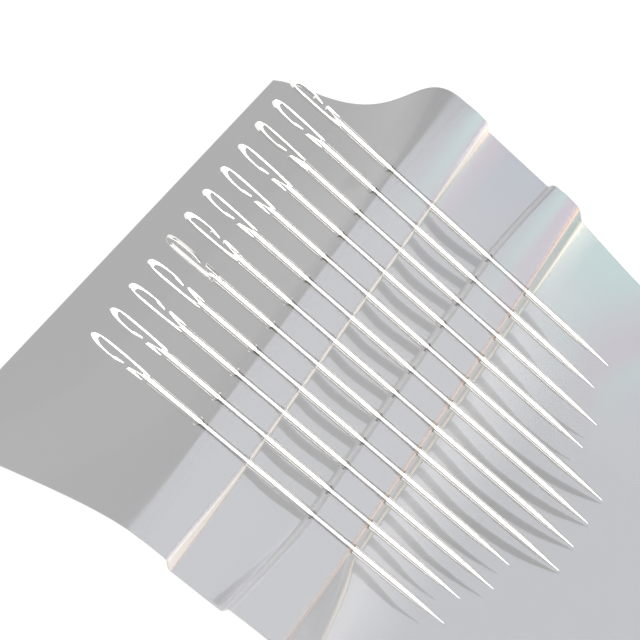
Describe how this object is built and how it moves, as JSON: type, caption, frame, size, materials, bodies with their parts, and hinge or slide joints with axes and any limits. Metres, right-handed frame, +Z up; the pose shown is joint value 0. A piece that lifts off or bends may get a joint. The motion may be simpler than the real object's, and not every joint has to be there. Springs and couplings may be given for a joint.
{
  "type": "self-threading needle set on carrier film",
  "caption": "Self-threading sewing needles with side-slot eyes, woven through two pleats of a clear plastic carrier film that stands as a low arch.",
  "frame": {"origin": "middle of the footprint, on the surface the film stands on", "axes": "+Z up, +X the way the needle points lie, +Y along the row from the near edge of the film to the far edge"},
  "size_m": [0.0578, 0.0446, 0.018],
  "materials": {
    "film": "glossy, clear, slightly smoky",
    "steel": "polished steel"
  },
  "bodies": {
    "film": {"carrier_film": "film"},
    "needle_01": {"needle_01": "steel"},
    "needle_02": {"needle_02": "steel"},
    "needle_03": {"needle_03": "steel"},
    "needle_04": {"needle_04": "steel"},
    "needle_05": {"needle_05": "steel"},
    "needle_06": {"needle_06": "steel"},
    "needle_07": {"needle_07": "steel"},
    "needle_08": {"needle_08": "steel"},
    "needle_09": {"needle_09": "steel"},
    "needle_10": {"needle_10": "steel"},
    "needle_11": {"needle_11": "steel"},
    "needle_12": {"needle_12": "steel"}
  },
  "joints": [
    {"name": "needle_01_slide", "type": "slide", "parent": "film", "child": "needle_01", "axis": [0.9107, 0, -0.4131], "range_m": [-0.0282, 0.0055]},
    {"name": "needle_02_slide", "type": "slide", "parent": "film", "child": "needle_02", "axis": [0.9107, 0, -0.4131], "range_m": [-0.0282, 0.0055]},
    {"name": "needle_03_slide", "type": "slide", "parent": "film", "child": "needle_03", "axis": [0.9107, 0, -0.4131], "range_m": [-0.0302, 0.0035]},
    {"name": "needle_04_slide", "type": "slide", "parent": "film", "child": "needle_04", "axis": [0.9107, 0, -0.4131], "range_m": [-0.0302, 0.0035]},
    {"name": "needle_05_slide", "type": "slide", "parent": "film", "child": "needle_05", "axis": [0.9107, 0, -0.4131], "range_m": [-0.0342, 0]},
    {"name": "needle_06_slide", "type": "slide", "parent": "film", "child": "needle_06", "axis": [0.9107, 0, -0.4131], "range_m": [-0.0342, 0]},
    {"name": "needle_07_slide", "type": "slide", "parent": "film", "child": "needle_07", "axis": [0.9107, 0, -0.4131], "range_m": [-0.0342, 0]},
    {"name": "needle_08_slide", "type": "slide", "parent": "film", "child": "needle_08", "axis": [0.9107, 0, -0.4131], "range_m": [-0.0342, 0]},
    {"name": "needle_09_slide", "type": "slide", "parent": "film", "child": "needle_09", "axis": [0.9107, 0, -0.4131], "range_m": [-0.0302, 0.0035]},
    {"name": "needle_10_slide", "type": "slide", "parent": "film", "child": "needle_10", "axis": [0.9107, 0, -0.4131], "range_m": [-0.0302, 0.0035]},
    {"name": "needle_11_slide", "type": "slide", "parent": "film", "child": "needle_11", "axis": [0.9107, 0, -0.4131], "range_m": [-0.0282, 0.0055]},
    {"name": "needle_12_slide", "type": "slide", "parent": "film", "child": "needle_12", "axis": [0.9107, 0, -0.4131], "range_m": [-0.0282, 0.0055]}
  ]
}
